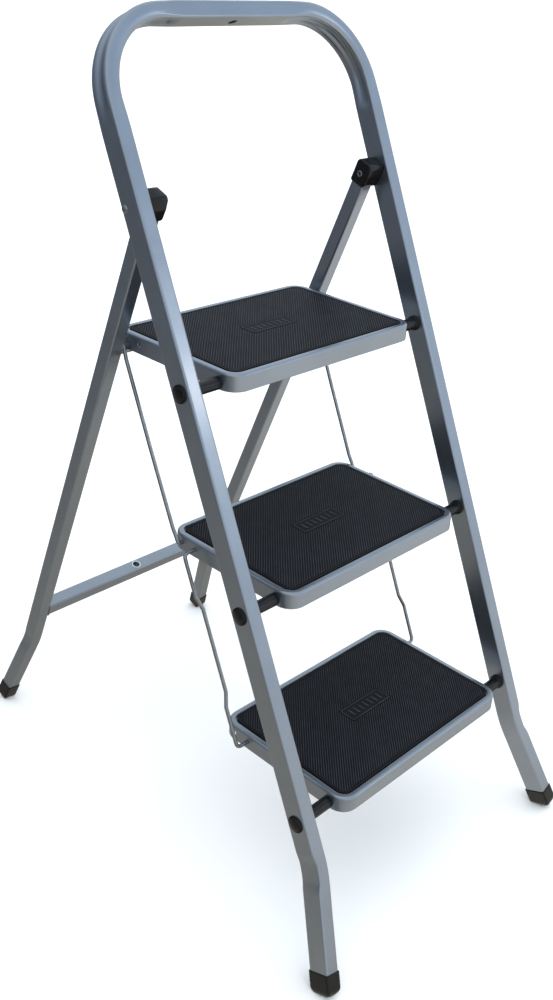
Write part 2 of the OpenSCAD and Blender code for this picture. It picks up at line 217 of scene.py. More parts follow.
def rounded_outline(corners, radii, steps=6, hold=0.4 * MM, side_steps=1):
    """A closed polygon whose corners are arcs tangent to both sides. Each straight side has a point
    close to either arc, so that it shades flat, and side_steps equal parts between those two."""
    corners = np.asarray(corners, float)
    count = len(corners)
    starts, points = [], []
    for i in range(count):
        before = unit(corners[i - 1] - corners[i])
        after = unit(corners[(i + 1) % count] - corners[i])
        half = 0.5 * np.arccos(np.clip(before @ after, -1, 1))
        mid = corners[i] + unit(before + after) * radii[i] / sin(half)
        reach = radii[i] / tan(half)
        first, last = corners[i] + before * reach, corners[i] + after * reach
        start = atan2(*(first - mid)[::-1])
        turn = (atan2(*(last - mid)[::-1]) - start + pi) % (2 * pi) - pi
        starts.append(first + before * hold)
        points.append(np.vstack((first + before * hold, arc(mid, radii[i], start, start + turn, steps),
                                 last + after * hold)))
    sides = []
    for i in range(count):
        ahead = starts[(i + 1) % count]
        share = np.arange(1, side_steps)[:, None] / side_steps
        sides += [points[i], points[i][-1] * (1 - share) + ahead * share]
    return np.vstack(sides)


def rounded_rectangle(width, depth, radius, steps=6, side_steps=1):
    """A rectangle with arcs at its corners, centred, as a closed loop of (x, y) points."""
    x, y = width / 2, depth / 2
    return rounded_outline([(x, -y), (x, y), (-x, y), (-x, -y)], [radius] * 4, steps, side_steps=side_steps)


def circle(radius, steps=32):
    return arc((0, 0), radius, 0, 2 * pi, steps)[:-1]


def skin(rings, closed=False):
    """Rings of points (rings, points, 3) joined by quads into a tube: quad (i, j) has the corners
    (i, j), (i, j+1), (i+1, j+1), (i+1, j). The two end rings are capped, or joined if closed."""
    rings = np.asarray(rings, float)
    rows, columns = rings.shape[:2]
    i, j = np.meshgrid(np.arange(rows if closed else rows - 1), np.arange(columns), indexing="ij")
    next_j, next_i = (j + 1) % columns, (i + 1) % rows
    corners = ((i, j), (i, next_j), (next_i, next_j), (next_i, j))
    faces = np.stack([row * columns + column for row, column in corners], -1).reshape(-1, 4).tolist()
    if not closed:
        faces += [list(range(columns))[::-1], list(range((rows - 1) * columns, rows * columns))]
    return rings.reshape(-1, 3), faces


def volume(points, faces):
    """Signed volume of a closed shell: the sum over each face's fan of a . (b x c) / 6."""
    total = 0.0
    for count in {len(face) for face in faces}:
        corners = points[np.array([face for face in faces if len(face) == count])]
        for k in range(1, count - 1):
            total += np.einsum("ij,ij->", corners[:, 0], np.cross(corners[:, k], corners[:, k + 1])) / 6
    return total


def piece(name, shells, smooth_angle=38):
    """One mesh object from closed shells (points, faces), each turned so that its faces point out."""
    points, faces, count = [], [], 0
    for shell_points, shell_faces in shells:
        turned = volume(shell_points - shell_points.mean(0), shell_faces) < 0
        faces += [[k + count for k in (face[::-1] if turned else face)] for face in shell_faces]
        points.append(shell_points)
        count += len(shell_points)
    mesh = bpy.data.meshes.new(name)
    mesh.from_pydata(np.vstack(points).tolist(), [], faces)
    mesh.shade_smooth()
    mesh.set_sharp_from_angle(angle=radians(smooth_angle))
    obj = bpy.data.objects.new(name, mesh)
    bpy.context.collection.objects.link(obj)
    return obj


def stand_for(obj, slot, finish, *nodes):
    """A finished piece rides with the body of the nodes that it replaces."""
    obj.data.materials.append(material(finish))
    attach(obj, BODY_OF[nodes[0]])
    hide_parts(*nodes)


def drill(obj, cutters):
    """Cuts closed shells out of a piece, and keeps the result as its mesh."""
    tool = piece("cutter", cutters)
    cut = obj.modifiers.new("cut", "BOOLEAN")
    cut.object, cut.operation, cut.solver = tool, "DIFFERENCE", "EXACT"
    graph = bpy.context.evaluated_depsgraph_get()
    made = bpy.data.meshes.new_from_object(obj.evaluated_get(graph))
    obj.modifiers.clear()
    obj.data = made
    made.name = obj.name
    made.shade_smooth()
    made.set_sharp_from_angle(angle=radians(38))
    bpy.data.objects.remove(tool)


def lathe(profile, steps=48):
    """A closed profile of (x, radius) points turned round the x axis. Points on the axis make poles,
    which the caps of the skin close."""
    profile = np.asarray(profile, float)
    turn = np.linspace(0, 2 * pi, steps, endpoint=False)
    rings = np.stack(
        np.broadcast_arrays(
            profile[:, :1], profile[:, 1:] * np.cos(turn), profile[:, 1:] * np.sin(turn)
        ),
        -1,
    )
    return rings


def frames_along(path):
    """Directions of a path and two normals carried along it: each normal is the last one less its
    share along the new direction, made unit length."""
    path = np.asarray(path, float)
    steps = np.diff(path, axis=0)
    ends = np.vstack((steps[:1], steps[:-1] + steps[1:], steps[-1:]))
    ahead = ends / np.linalg.norm(ends, axis=1, keepdims=True)
    normal = unit(np.cross(ahead[0], (0.3, 0.9, 0.3)))
    normals = []
    for direction in ahead:
        normal = unit(normal - direction * (normal @ direction))
        normals.append(normal)
    normals = np.array(normals)
    return ahead, normals, np.cross(ahead, normals)


def wire_shell(path, radius, steps=14):
    """A round bar along a path: point + radius (cos t normal + sin t other), with rounded ends."""
    _, one, two = frames_along(path)
    turn = np.linspace(0, 2 * pi, steps, endpoint=False)
    ring = np.cos(turn)[None, :, None] * one[:, None] + np.sin(turn)[None, :, None] * two[:, None]
    return skin(np.asarray(path)[:, None] + radius * ring)


def filleted(points, radius, steps=7):
    """A path whose corners are arcs: each corner becomes a quadratic curve between the points that lie
    the fillet's tangent length before and after it."""
    points = np.asarray(points, float)
    share = np.linspace(0, 1, steps + 1)[:, None]
    out = [points[:1]]
    for before, corner, after in zip(points[:-2], points[1:-1], points[2:]):
        a, b = unit(before - corner), unit(after - corner)
        half = 0.5 * np.arccos(np.clip(a @ b, -1, 1))
        sides = np.linalg.norm((before - corner, after - corner), axis=1)
        reach = min(radius / tan(half), 0.45 * sides.min())
        first, last = corner + a * reach, corner + b * reach
        out.append((1 - share) ** 2 * first + 2 * share * (1 - share) * corner + share**2 * last)
    return np.vstack(out + [points[-1:]])


# ---------------------------------------------------------------- tubes


def plateau(distance, reach, ramp):
    """1 near a place and 0 beyond its reach, with 3t^2 - 2t^3 over the ramp between."""
    t = np.clip((reach - np.abs(distance)) / ramp, 0, 1)
    return t * t * (3 - 2 * t)


def straight(start, end, runs=(60 * MM, 60 * MM)):
    """Rows from one to another, 3 mm apart over a run at each end; the ends are left out."""
    step = 3 * MM
    length_of = np.linalg.norm(np.subtract(end, start)[:2])
    near = np.arange(step, runs[0], step)
    far = length_of - np.arange(step, runs[1], step)[::-1]
    share = np.concatenate((near, np.linspace(runs[0], length_of - runs[1], 6), far)) / length_of
    return start + share[:, None] * np.subtract(end, start)


def along(line):
    """Length run up to each row of a line."""
    return np.concatenate(((0,), np.cumsum(np.linalg.norm(np.diff(line[:, :2], axis=0), axis=1))))


def foot_line(x, start_z, angle, end_z, radius, steps=18):
    """A leg's line as rows of x, z and heading, from its foot up to the start of its bend, and the
    length run at the bend's middle. The bend is an arc round a centre outside the leg; below it the
    line is straight."""
    turn = np.linspace(angle, 0, steps + 1)
    bend = np.stack((x + radius * (1 - np.cos(turn)), start_z - radius * np.sin(turn), turn), 1)
    drop = (bend[0, 1] - end_z) / cos(angle)
    away = np.concatenate(((drop, 0.6 * drop), np.arange(30, 1, -2) * MM))[:, None]
    line = np.vstack((bend[0] + away * np.array((sin(angle), -cos(angle), 0)), bend))
    return line, drop + 0.5 * radius * angle


def mirrored(line):
    """The same line on the other side, run from its end back to its start."""
    return line[::-1] * (-1, 1, -1) + (0, 0, pi)


def tube_rings(line, sections):
    """Sections carried along a line in the plane of x and z. A section's first coordinate points across
    the line, (cos a, sin a) for a heading of a, and its second one runs front to rear."""
    x, z, heading = line[:, 0, None], line[:, 1, None], line[:, 2, None]
    side, deep = sections[..., 0], sections[..., 1]
    return np.stack((x + side * np.cos(heading), deep, z + side * np.sin(heading)), -1)


def pressed_sections(width, depth, corner, foot, dent, rail=0, inner=0, groove=0):
    """Section of a tube at each row of its line: a rounded rectangle with its walls pressed in.
    At a handrail bend the outer wall (+) and the inner wall (-) get a lengthwise groove, a squared cosine
    set a little to the front, between full lobes. At a foot the outer wall is pushed in flat, corners and
    all and most at the front, and the front wall leans back beside it."""
    plain = rounded_rectangle(width, depth, corner, steps=5, side_steps=12)
    side, deep = plain.T
    rail, inner, foot = (np.broadcast_to(part, np.shape(foot))[:, None] for part in (rail, inner, foot))
    full = rounded_rectangle(width, depth, 1.9 * corner, steps=5, side_steps=12)
    soft = plain + rail[..., None] * (full - plain)
    trough = np.cos(np.clip((deep + 0.06 * depth) / (0.42 * depth), -1, 1) * pi / 2) ** 2
    outer_wall, inner_wall = np.clip(side / (0.4 * width), 0, 1), np.clip(-side / (0.4 * width), 0, 1)
    press = groove * trough * (rail * outer_wall - inner * inner_wall)
    bulge = 0.9 * MM * np.cos(np.clip(side / (0.5 * width), -1, 1) * pi / 2) * np.sign(deep) * rail
    flat = dent * np.clip(side / (width / 2), 0, 1) ** 3 * (0.75 - 0.5 * deep / depth)
    lean = 0.45 * dent * np.clip(side / (width / 2), 0, 1) ** 2 * (deep < 0)
    return np.stack((soft[..., 0] - press - foot * flat, soft[..., 1] + bulge + foot * lean), -1)


def front_line(tubes):
    """The front tube's line, measured from the bottom axle: right foot, right leg, bend, handrail, and
    the same mirrored. With it come the shares of the foot, outer and inner presses at each row."""
    leg_x = INNER_X + tubes.width / 2
    lean = atan2(FRAME_UP[1], FRAME_UP[2])
    top = (high("front_frame")[2] - AXLES[0][2] - tubes.depth / 2 * sin(lean)) / cos(lean)
    rail_z = top - tubes.width / 2
    bend = tubes.rail_radius - tubes.width / 2
    start = tubes.bend_radius * tan(tubes.front_flare / 2) - tubes.front_drop
    end = -AXLES[0][2] / cos(lean) + 12 * MM
    foot, foot_middle = foot_line(leg_x, start, tubes.front_flare, end, tubes.bend_radius)
    turn = np.linspace(0, pi / 2, 49)
    corner = np.stack((leg_x - bend + bend * np.cos(turn), rail_z - bend + bend * np.sin(turn), turn), 1)
    middle = np.array((0, rail_z, pi / 2))
    leg, rail = straight(foot[-1], corner[0]), straight(corner[-1], middle, (60 * MM, 12 * MM))
    half = np.vstack((foot, leg, corner, rail, middle))
    run = along(half)
    bend_middle = run[-1] - (leg_x - bend) - bend * pi / 4
    from_bend, arc_half = run - bend_middle, bend * pi / 4
    press = np.stack((
        plateau(run - foot_middle, 27 * MM, 17 * MM),
        plateau(from_bend, arc_half + 32 * MM, 44 * MM),
        plateau(from_bend, arc_half + tubes.rail_run_out, 14 * MM),
    ))
    return np.vstack((half, mirrored(half)[1:])), np.hstack((press, press[:, -2::-1]))


class LADDER_OT_front_frame(bpy.types.Operator):
    """One rectangular tube: two legs flared at the feet and the bent handrail over them"""

    bl_idname = "ladder.front_frame"
    bl_label = "Front Frame"

    def execute(self, context):
        tubes = context.scene.ladder_tubes
        line, (foot, rail, inner) = front_line(tubes)
        sections = pressed_sections(tubes.width, tubes.depth, tubes.corner, foot, tubes.bend_dent,
                                    rail, inner, tubes.rail_groove)
        tube = piece("front_tube", [placed_shell(skin(tube_rings(line, sections)), AXLES[0], FRAME_UP)])
        rail_z = line[:, 1].max() - tubes.width / 2
        rim = circle(tubes.rail_hole / 2, 20)
        shaft = [np.column_stack((rim, np.full(20, rail_z + rise))) for rise in (-3 * MM, 5 * MM)]
        drill(tube, [placed_shell(skin(shaft), AXLES[0], FRAME_UP)])
        stand_for(tube, "painted_steel", "silver_enamel", "front_frame")
        return {"FINISHED"}


class LADDER_OT_rear_frame(bpy.types.Operator):
    """Two square legs, the crossbar welded between them, and the rod under the top tread"""

    bl_idname = "ladder.rear_frame"
    bl_label = "Rear Frame"

    def execute(self, context):
        tubes = context.scene.ladder_tubes
        start = rear_bend_start(tubes)
        x = REAR_INNER_X + tubes.rear_side / 2
        for name, side in SIDES.items():
            foot, bend_middle = foot_line(x, start, tubes.rear_flare, REAR_FLOOR + 10 * MM, tubes.bend_radius)
            top = (x, top_of_leg(f"rear_leg_{name}"), 0)
            line = np.vstack((foot, straight(foot[-1], top, (40 * MM, 4 * MM)), top))
            press = plateau(along(line) - bend_middle, 22 * MM, 14 * MM)
            sections = pressed_sections(tubes.rear_side, tubes.rear_side, tubes.rear_corner, press,
                                        tubes.bend_dent / 2)
            shell = skin(tube_rings(line, sections))
            leg = piece(f"rear_tube_{name}", [placed_shell(shell, PIVOT, REAR_UP, side)])
            stand_for(leg, "painted_steel", "silver_enamel", f"rear_leg_{name}")
        self.crossbar(tubes)
        self.cross_rod()
        return {"FINISHED"}

    def crossbar(self, tubes):
        """A square tube from leg to leg, a punched hole with a turned burr, and weld beads round its ends."""
        middle = centre("rear_crossbar")
        half = REAR_INNER_X
        xs = np.array((-half, -half + 2 * MM, -0.5 * half, 0.5 * half, half - 2 * MM, half))
        outline = rounded_rectangle(tubes.rear_side, tubes.rear_side, tubes.rear_corner, side_steps=2)
        rings = np.stack([np.column_stack((np.full(len(outline), x), outline)) for x in xs])
        bar = piece("crossbar", [placed_shell(skin(rings), middle, REAR_UP)])
        hole_r = tubes.bar_hole / 2
        shaft = [np.column_stack((circle(hole_r), np.full(32, z))) for z in (2 * MM, tubes.rear_side)]
        drill(bar, [placed_shell(skin(shaft), middle, REAR_UP)])
        top = tubes.rear_side / 2
        profile = rounded_rectangle(2.0 * MM, 1.4 * MM, 0.6 * MM, steps=4) + (hole_r + 0.4 * MM, top)
        turn = np.linspace(0, 2 * pi, 33)[:-1, None]
        burr = np.stack((profile[:, 0] * np.cos(turn), profile[:, 0] * np.sin(turn),
                         np.broadcast_to(profile[:, 1], (32, len(profile)))), -1)
        bead = self.bead(tubes, outline)
        both = [placed_shell(bead, middle, REAR_UP, side) for side in SIDES.values()]
        beads = piece("crossbar_welds", both)
        ring = piece("hole_burr", [placed_shell(skin(burr, closed=True), middle, REAR_UP)])
        finished = ((beads, "painted_steel", "silver_enamel"), (ring, "zinc_wire", "bare_steel"))
        for added, slot, finish in finished:
            added.data.materials.append(material(finish))
            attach(added, BODY_OF["rear_crossbar"])
        stand_for(bar, "painted_steel", "silver_enamel", "rear_crossbar")

    def bead(self, tubes, outline):
        """A weld bead: a small circle carried round the crossbar's end, its radius rippled along the way."""
        loop = np.column_stack((np.full(len(outline), REAR_INNER_X - 0.4 * MM), outline))
        loop = np.vstack([np.linspace(a, b, 6)[:-1] for a, b in zip(loop, np.roll(loop, -1, 0))])
        out = loop * (0, 1, 1) / np.linalg.norm(loop * (0, 1, 1), axis=1, keepdims=True)
        way = np.linspace(0, 2 * pi, len(loop), endpoint=False)[:, None]
        radius = tubes.weld / 2 * (1 + 0.12 * np.sin(34 * way) + 0.1 * np.sin(5 * way + 1))
        turn = np.linspace(0, 2 * pi, 9)[:-1]
        return skin(loop[:, None] + radius[..., None] * (
            np.cos(turn)[None, :, None] * ACROSS + np.sin(turn)[None, :, None] * out[:, None]), closed=True)

    def cross_rod(self):
        radius = (high("cross_rod")[2] - low("cross_rod")[2]) / 2
        profile = [(-REAR_INNER_X, 0.6 * radius), (-REAR_INNER_X, radius), (REAR_INNER_X, radius),
                   (REAR_INNER_X, 0.6 * radius)]
        rod = piece("cross_bar_rod", [placed_shell(skin(lathe(profile)), ROD, LEVEL_UP)])
        stand_for(rod, "zinc_wire", "bright_zinc", "cross_rod")


def rear_bend_start(tubes):
    """Where a rear leg's bend starts, along the leg from the pivot: the corner that the bend rounds off
    is at the named height over the floor, and the bend starts a tangent's length above it."""
    return REAR_FLOOR + tubes.rear_height / REAR_UP[2] + tubes.bend_radius * tan(tubes.rear_flare / 2)


def top_of_leg(name):
    """Height of a rear leg's top over the pivot, along the leg."""
    corners = np.array([v.co for v in frame["nodes"][name].data.vertices])
    return ((corners - PIVOT) @ REAR_UP).max()


# ---------------------------------------------------------------- treads and mats


def layered(loop, layers):
    """Rings stacked from one closed loop: a layer (inset, height) moves each point inwards by the inset
    along its normal, and lifts it to the height."""
    ahead = np.roll(loop, -1, 0) - np.roll(loop, 1, 0)
    out = np.stack((ahead[:, 1], -ahead[:, 0]), 1) / np.linalg.norm(ahead, axis=1, keepdims=True)
    return np.stack([np.column_stack((loop - inset * out, np.full(len(loop), z))) for inset, z in layers])


def tread_outline(treads):
    depth = TREAD_REAR - TREAD_FRONT
    outline = rounded_rectangle(2 * TREAD_SIDE, depth, treads.corner, steps=12, side_steps=6)
    return outline + (0, TREAD_FRONT + depth / 2)


def tray_layers(treads):
    """Half a section through the pressed tray, as (inset, height), from the middle of its upper face over
    the recess wall, rim, rolled edge and skirt, and back along the inside of the sheet."""
    top, bottom, sheet, edge = TREAD_TOP, TREAD_BOTTOM, treads.sheet, treads.edge
    wall, seat = treads.rim, TREAD_TOP - treads.recess
    soft, hem, hold = 0.8 * MM, sheet / 2, 0.5 * MM
    return np.vstack((
        [(wall + 6 * MM, seat), (wall + soft + hold, seat)],
        arc((wall + soft, seat + soft), soft, -pi / 2, -pi, 4),
        arc((wall - soft, top - soft), soft, 0, pi / 2, 4),
        [(wall - soft - hold, top), (edge + hold, top)],
        arc((edge, top - edge), edge, pi / 2, pi, 7),
        [(0, top - edge - hold), (0, bottom + hem + hold)],
        arc((hem, bottom + hem), hem, pi, 2 * pi, 6),
        [(sheet, bottom + hem + hold), (sheet, top - edge - hold)],
        arc((edge, top - edge), edge - sheet, pi, pi / 2, 5),
        [(wall - sheet, top - sheet), (wall - sheet, seat - sheet), (wall, seat - sheet)],
    ))


def cylinder_across(x_start, x_end, y, z, radius):
    """A closed cylinder along x, for drilling."""
    ring = circle(radius, 24)
    return skin([np.column_stack((np.full(24, x), ring + (y, z))) for x in (x_start, x_end)])


class LADDER_OT_treads(bpy.types.Operator):
    """Three pressed trays, each with link holes through its skirt"""

    bl_idname = "ladder.treads"
    bl_label = "Treads"

    def execute(self, context):
        treads = context.scene.ladder_treads
        fittings = context.scene.ladder_fittings
        shell = skin(layered(tread_outline(treads), tray_layers(treads)))
        radius, reach = fittings.wire / 2 + 0.3 * MM, 5 * MM
        drills = [
            cylinder_across(side * (TREAD_SIDE - reach), side * (TREAD_SIDE + reach), y, z, radius)
            for side in SIDES.values()
            for y, z in (link_hole("upper_link_swing", 2), link_hole("lower_link_swing", 1))
        ]
        for level, axle in zip(LEVELS, AXLES):
            tray = piece(f"{level}_tray", [placed_shell(shell, axle, LEVEL_UP)], smooth_angle=50)
            drill(tray, [placed_shell(cut, axle, LEVEL_UP) for cut in drills])
            stand_for(tray, "painted_steel", "silver_enamel", f"{level}_tread")
        return {"FINISHED"}


def link_hole(joint, level):
    """Place of a link's hole, measured from the axle of the tread that carries it: (y, z)."""
    return tuple((joint_place(joint) - AXLES[level])[1:])


def rib_bars(half_x, half_y, pitch, keep_out, cut):
    """Straight ribs at 45 degrees across a rectangle, as start and end points. A rib at offset c is the
    line y = x + c; each end is where it meets the rectangle, and a rib that would cross the plaque is cut
    in two there, by the same rule for the plaque's rectangle."""
    offsets = np.arange(-(half_x + half_y) + cut, half_x + half_y - cut, pitch * 2**0.5)

    def span(c, x, y):
        return np.maximum(-x, -y - c), np.minimum(x, y - c)

    start, end = span(offsets, half_x, half_y)
    first, last = span(offsets, *keep_out)
    crossed = last > first
    runs = np.vstack((
        np.stack((offsets, start, end), 1)[~crossed],
        np.stack((offsets, start, first), 1)[crossed],
        np.stack((offsets, last, end), 1)[crossed],
    ))
    c, start, end = runs[runs[:, 2] - runs[:, 1] > 2 * MM].T
    return np.stack((start, start + c), 1), np.stack((end, end + c), 1)


def rib_shells(starts, ends, pitch, base, height):
    """A rib is a trapezium carried from its start to its end: foot 0.62 pitch wide, crown 0.3 pitch."""
    section = np.array(((-0.31, -0.1), (-0.15, 1.0), (0.15, 1.0), (0.31, -0.1))) * (pitch, height)
    across = np.array((-1, 1, 0)) / 2**0.5
    offset = section[:, :1] * across + section[:, 1:] * LEVEL_UP + (0, 0, base)
    rings = np.stack((starts, ends), 1)
    rings = np.concatenate((rings, np.zeros((*rings.shape[:2], 1))), -1)[:, :, None] + offset
    return [skin(ring) for ring in rings]


class LADDER_OT_mats(bpy.types.Operator):
    """Three rubber mats: smooth border, diagonal ribs and a plain raised plaque"""

    bl_idname = "ladder.mats"
    bl_label = "Mats"

    def execute(self, context):
        treads = context.scene.ladder_treads
        mat_low, mat_high = low("top_mat") - AXLES[2], high("top_mat") - AXLES[2]
        inset = treads.rim + treads.mat_gap
        half_x = TREAD_SIDE - inset
        half_y = (TREAD_REAR - TREAD_FRONT) / 2 - inset
        top, base = mat_high[2], mat_high[2] - treads.rib_height
        outline = rounded_rectangle(2 * half_x, 2 * half_y, treads.corner - inset, steps=10, side_steps=4)
        border, soft = treads.mat_border, 0.9 * MM
        layers = np.vstack((
            [(1 * MM, mat_low[2]), (0, mat_low[2])],
            [(0, top - soft)], arc((soft, top - soft), soft, pi, pi / 2, 4),
            [(border - soft, top), (border, base), (border + 2 * MM, base)],
        ))
        shells = [skin(layered(outline, layers))]
        shells += self.ribs(treads, half_x - border, half_y - border, base)
        shells += self.plaque(treads, base)
        middle = np.array((0, (TREAD_REAR + TREAD_FRONT) / 2, 0))
        for level, axle in zip(LEVELS, AXLES):
            placed_shells = [placed_shell(shell, axle + middle, LEVEL_UP) for shell in shells]
            mat = piece(f"{level}_ribbed_mat", placed_shells)
            stand_for(mat, "mat_rubber", "vulcanised_rubber", f"{level}_mat")
            # The crowns of the ribs and the plaque get the lighter rubber: a painted highlight for light caught on
            # the crowns.
            mat.data.materials.append(material("crown_highlight_rubber"))
            faces = mat.data.polygons
            crown_highlight_from = axle[2] + top - 0.3 * MM
            crown = np.array([face.normal[2] > 0.9 and face.center[2] > crown_highlight_from for face in faces])
            crown[: len(shells[0][1])] = False
            faces.foreach_set("material_index", crown.astype(np.int32))
        return {"FINISHED"}

    def ribs(self, treads, half_x, half_y, base):
        gap = 1.2 * MM
        keep_out = (treads.plaque_width / 2 + gap, treads.plaque_depth / 2 + gap)
        starts, ends = rib_bars(half_x, half_y, treads.rib_pitch, keep_out, treads.corner / 2)
        return rib_shells(starts, ends, treads.rib_pitch, base, treads.rib_height)

    def plaque(self, treads, base):
        """A raised rectangle with a sunk field, and a row of plain grip bars in the field."""
        width, depth = treads.plaque_width, treads.plaque_depth
        height = treads.rib_height + 0.1 * MM
        edge, rim, field = 0.4 * MM, 2.2 * MM, base + 0.5 * MM
        outline = rounded_rectangle(width, depth, 2.6 * MM, steps=4)
        layers = [(0, base - 0.3 * MM), (0, base + height - edge), (edge, base + height),
                  (rim - edge, base + height), (rim, field), (rim + 0.3 * MM, field)]
        shells = [skin(layered(outline, layers))]
        bar = rounded_rectangle(3 * MM, 0.52 * depth, 1.2 * MM, steps=3)
        bar_layers = [(0, field - 0.2 * MM), (0, field + 0.25 * MM), (0.3 * MM, field + 0.45 * MM)]
        for x in np.linspace(-0.36, 0.36, 7) * width:
            shells.append(skin(layered(bar + (x, 0), bar_layers)))
        return shells


# ---------------------------------------------------------------- moulded fittings


def foot_shell(leg_x, start_z, flare, bend_radius, width, depth, rim, floor, sides, ends):
    """A boot over a leg's end, in leg coordinates, square to the leg. Its rim is a small rounded lip. At its
    end, where the leg's line meets the floor, the outline is drawn in by quarter circles: r (1 - cos t) at a
    height of r (1 - sin t), with one radius for the sides and one for front and rear."""
    down = np.array((sin(flare), 0, -cos(flare)))
    across = np.array((cos(flare), 0, sin(flare)))
    bend_end = np.array((leg_x + bend_radius * (1 - cos(flare)), 0, start_z - bend_radius * sin(flare)))
    end = (bend_end[2] - floor) / cos(flare)
    start = end - rim

    def ring(past, side=0.0, front=0.0):
        size = np.array((width - 2 * side, depth - 2 * front))
        corner = min(3 * MM + 0.35 * front, 0.49 * size.min())
        outline = rounded_rectangle(*size, corner, side_steps=2)
        return bend_end + down * past + outline[:, :1] * across + outline[:, 1:] * np.array((0, 1, 0))

    lip = 1.1 * MM
    rings = [ring(start + 4 * MM, lip, lip), ring(start + 0.5 * MM, lip, lip),
             ring(start, 0.5 * lip, 0.5 * lip), ring(start + 0.5 * MM), ring(start + 3 * MM)]
    for turn in np.linspace(0, pi / 2, 14):
        height = ends * (1 - sin(turn))
        side = sides - sqrt(max(sides**2 - max(sides - height, 0) ** 2, 0))
        rings.append(ring(end - height, side, ends * (1 - cos(turn))))
    return skin(np.stack(rings))


class LADDER_OT_feet(bpy.types.Operator):
    """Four black boots on the ends of the legs"""

    bl_idname = "ladder.feet"
    bl_label = "Feet"

    def execute(self, context):
        tubes = context.scene.ladder_tubes
        fittings = context.scene.ladder_fittings
        wall, end_round = 1.2 * MM, fittings.foot_round
        front_start = tubes.bend_radius * tan(tubes.front_flare / 2) - tubes.front_drop
        rows = (
            ("front", AXLES[0], FRAME_UP, INNER_X, front_start, tubes.front_flare,
             tubes.width, tubes.depth, fittings.front_boot, 0.82 * end_round, end_round),
            ("rear", PIVOT, REAR_UP, REAR_INNER_X, rear_bend_start(tubes), tubes.rear_flare,
             tubes.rear_side, tubes.rear_side, fittings.rear_boot, 0.75 * end_round, 0.75 * end_round),
        )
        for name, origin, up, inner_x, start, flare, width, depth, rim, sides, ends in rows:
            shell = foot_shell(inner_x + width / 2, start, flare, tubes.bend_radius, width + 2 * wall,
                               depth + 2 * wall, rim, -origin[2] / up[2], sides, ends)
            for side_name, side in SIDES.items():
                points, faces = placed_shell(shell, origin, up, side)
                points[:, 2] = np.maximum(points[:, 2], 0)
                boot = piece(f"{name}_boot_{side_name}", [(points, faces)])
                stand_for(boot, "black_plastic", "black_polypropylene", f"{name}_foot_{side_name}")
        return {"FINISHED"}


class LADDER_OT_axle_fittings(bpy.types.Operator):
    """Flanged spacer sleeves and domed end plugs on the three axles, and the axles' zinc"""

    bl_idname = "ladder.axle_fittings"
    bl_label = "Sleeves and Plugs"

    def execute(self, context):
        for level, axle in zip(LEVELS, AXLES):
            for side_name, side in SIDES.items():
                for kind, make in (("sleeve", self.sleeve), ("plug", self.plug)):
                    node_name = f"{level}_{kind}_{side_name}"
                    shell = placed_shell(skin(lathe(make(node_name, axle))), axle, LEVEL_UP, side)
                    fitting = piece(f"{level}_black_{kind}_{side_name}", [shell])
                    stand_for(fitting, "black_plastic", "black_polypropylene", node_name)
            finish_node(f"{level}_axle", "bright_zinc")
        return {"FINISHED"}

    def sizes_of(self, node_name, axle):
        """Nearest and farthest |x| of a fitting, and its largest radius."""
        xs = sorted((abs(low(node_name)[0]), abs(high(node_name)[0])))
        return xs[0], xs[1], high(node_name)[2] - axle[2]

    def sleeve(self, node_name, axle):
        """Barrel with a rolled end, a shallow groove, and a dished flange against the leg."""
        start, end, flange = self.sizes_of(node_name, axle)
        barrel = 0.78 * flange
        groove = barrel - 0.4 * MM
        return np.vstack((
            [(start, 0.5 * barrel)],
            arc((start + 1 * MM, barrel - 1 * MM), 1 * MM, pi, pi / 2, 4),
            [(start + 3 * MM, barrel), (start + 3.5 * MM, groove), (start + 4.3 * MM, groove),
             (start + 4.8 * MM, barrel), (end - 4.5 * MM, barrel)],
            arc((end - 4.5 * MM, barrel + 1.5 * MM), 1.5 * MM, -pi / 2, 0, 5),
            [(end - 3 * MM, flange - 0.8 * MM)],
            arc((end - 2.2 * MM, flange - 0.8 * MM), 0.8 * MM, pi, pi / 2, 3),
            [(end, flange), (end, 0.5 * barrel)],
        ))

    def plug(self, node_name, axle):
        """Low dome with a rounded rim and a faint ring where the dome starts."""
        start, end, radius = self.sizes_of(node_name, axle)
        start = max(start, INNER_X + bpy.context.scene.ladder_tubes.width)
        rise = end - start - 1.6 * MM
        dome = np.linspace(0.82, 0, 9)
        return np.vstack((
            [(start, 0.3 * radius), (start, radius - 0.3 * MM), (start + 0.5 * MM, radius)],
            arc((start + 1.0 * MM, radius - 0.8 * MM), 0.8 * MM, pi / 2, 0, 4),
            [(start + 1.4 * MM, 0.86 * radius)],
            np.stack((start + 1.6 * MM + rise * (1 - dome**2), np.maximum(dome * radius, 0.02 * MM)), 1),
        ))


def finish_node(node_name, finish):
    """Gives a node that stays as it is its finish."""
    obj = frame["nodes"][node_name]
    obj.data.materials.clear()
    obj.data.materials.append(material(finish))


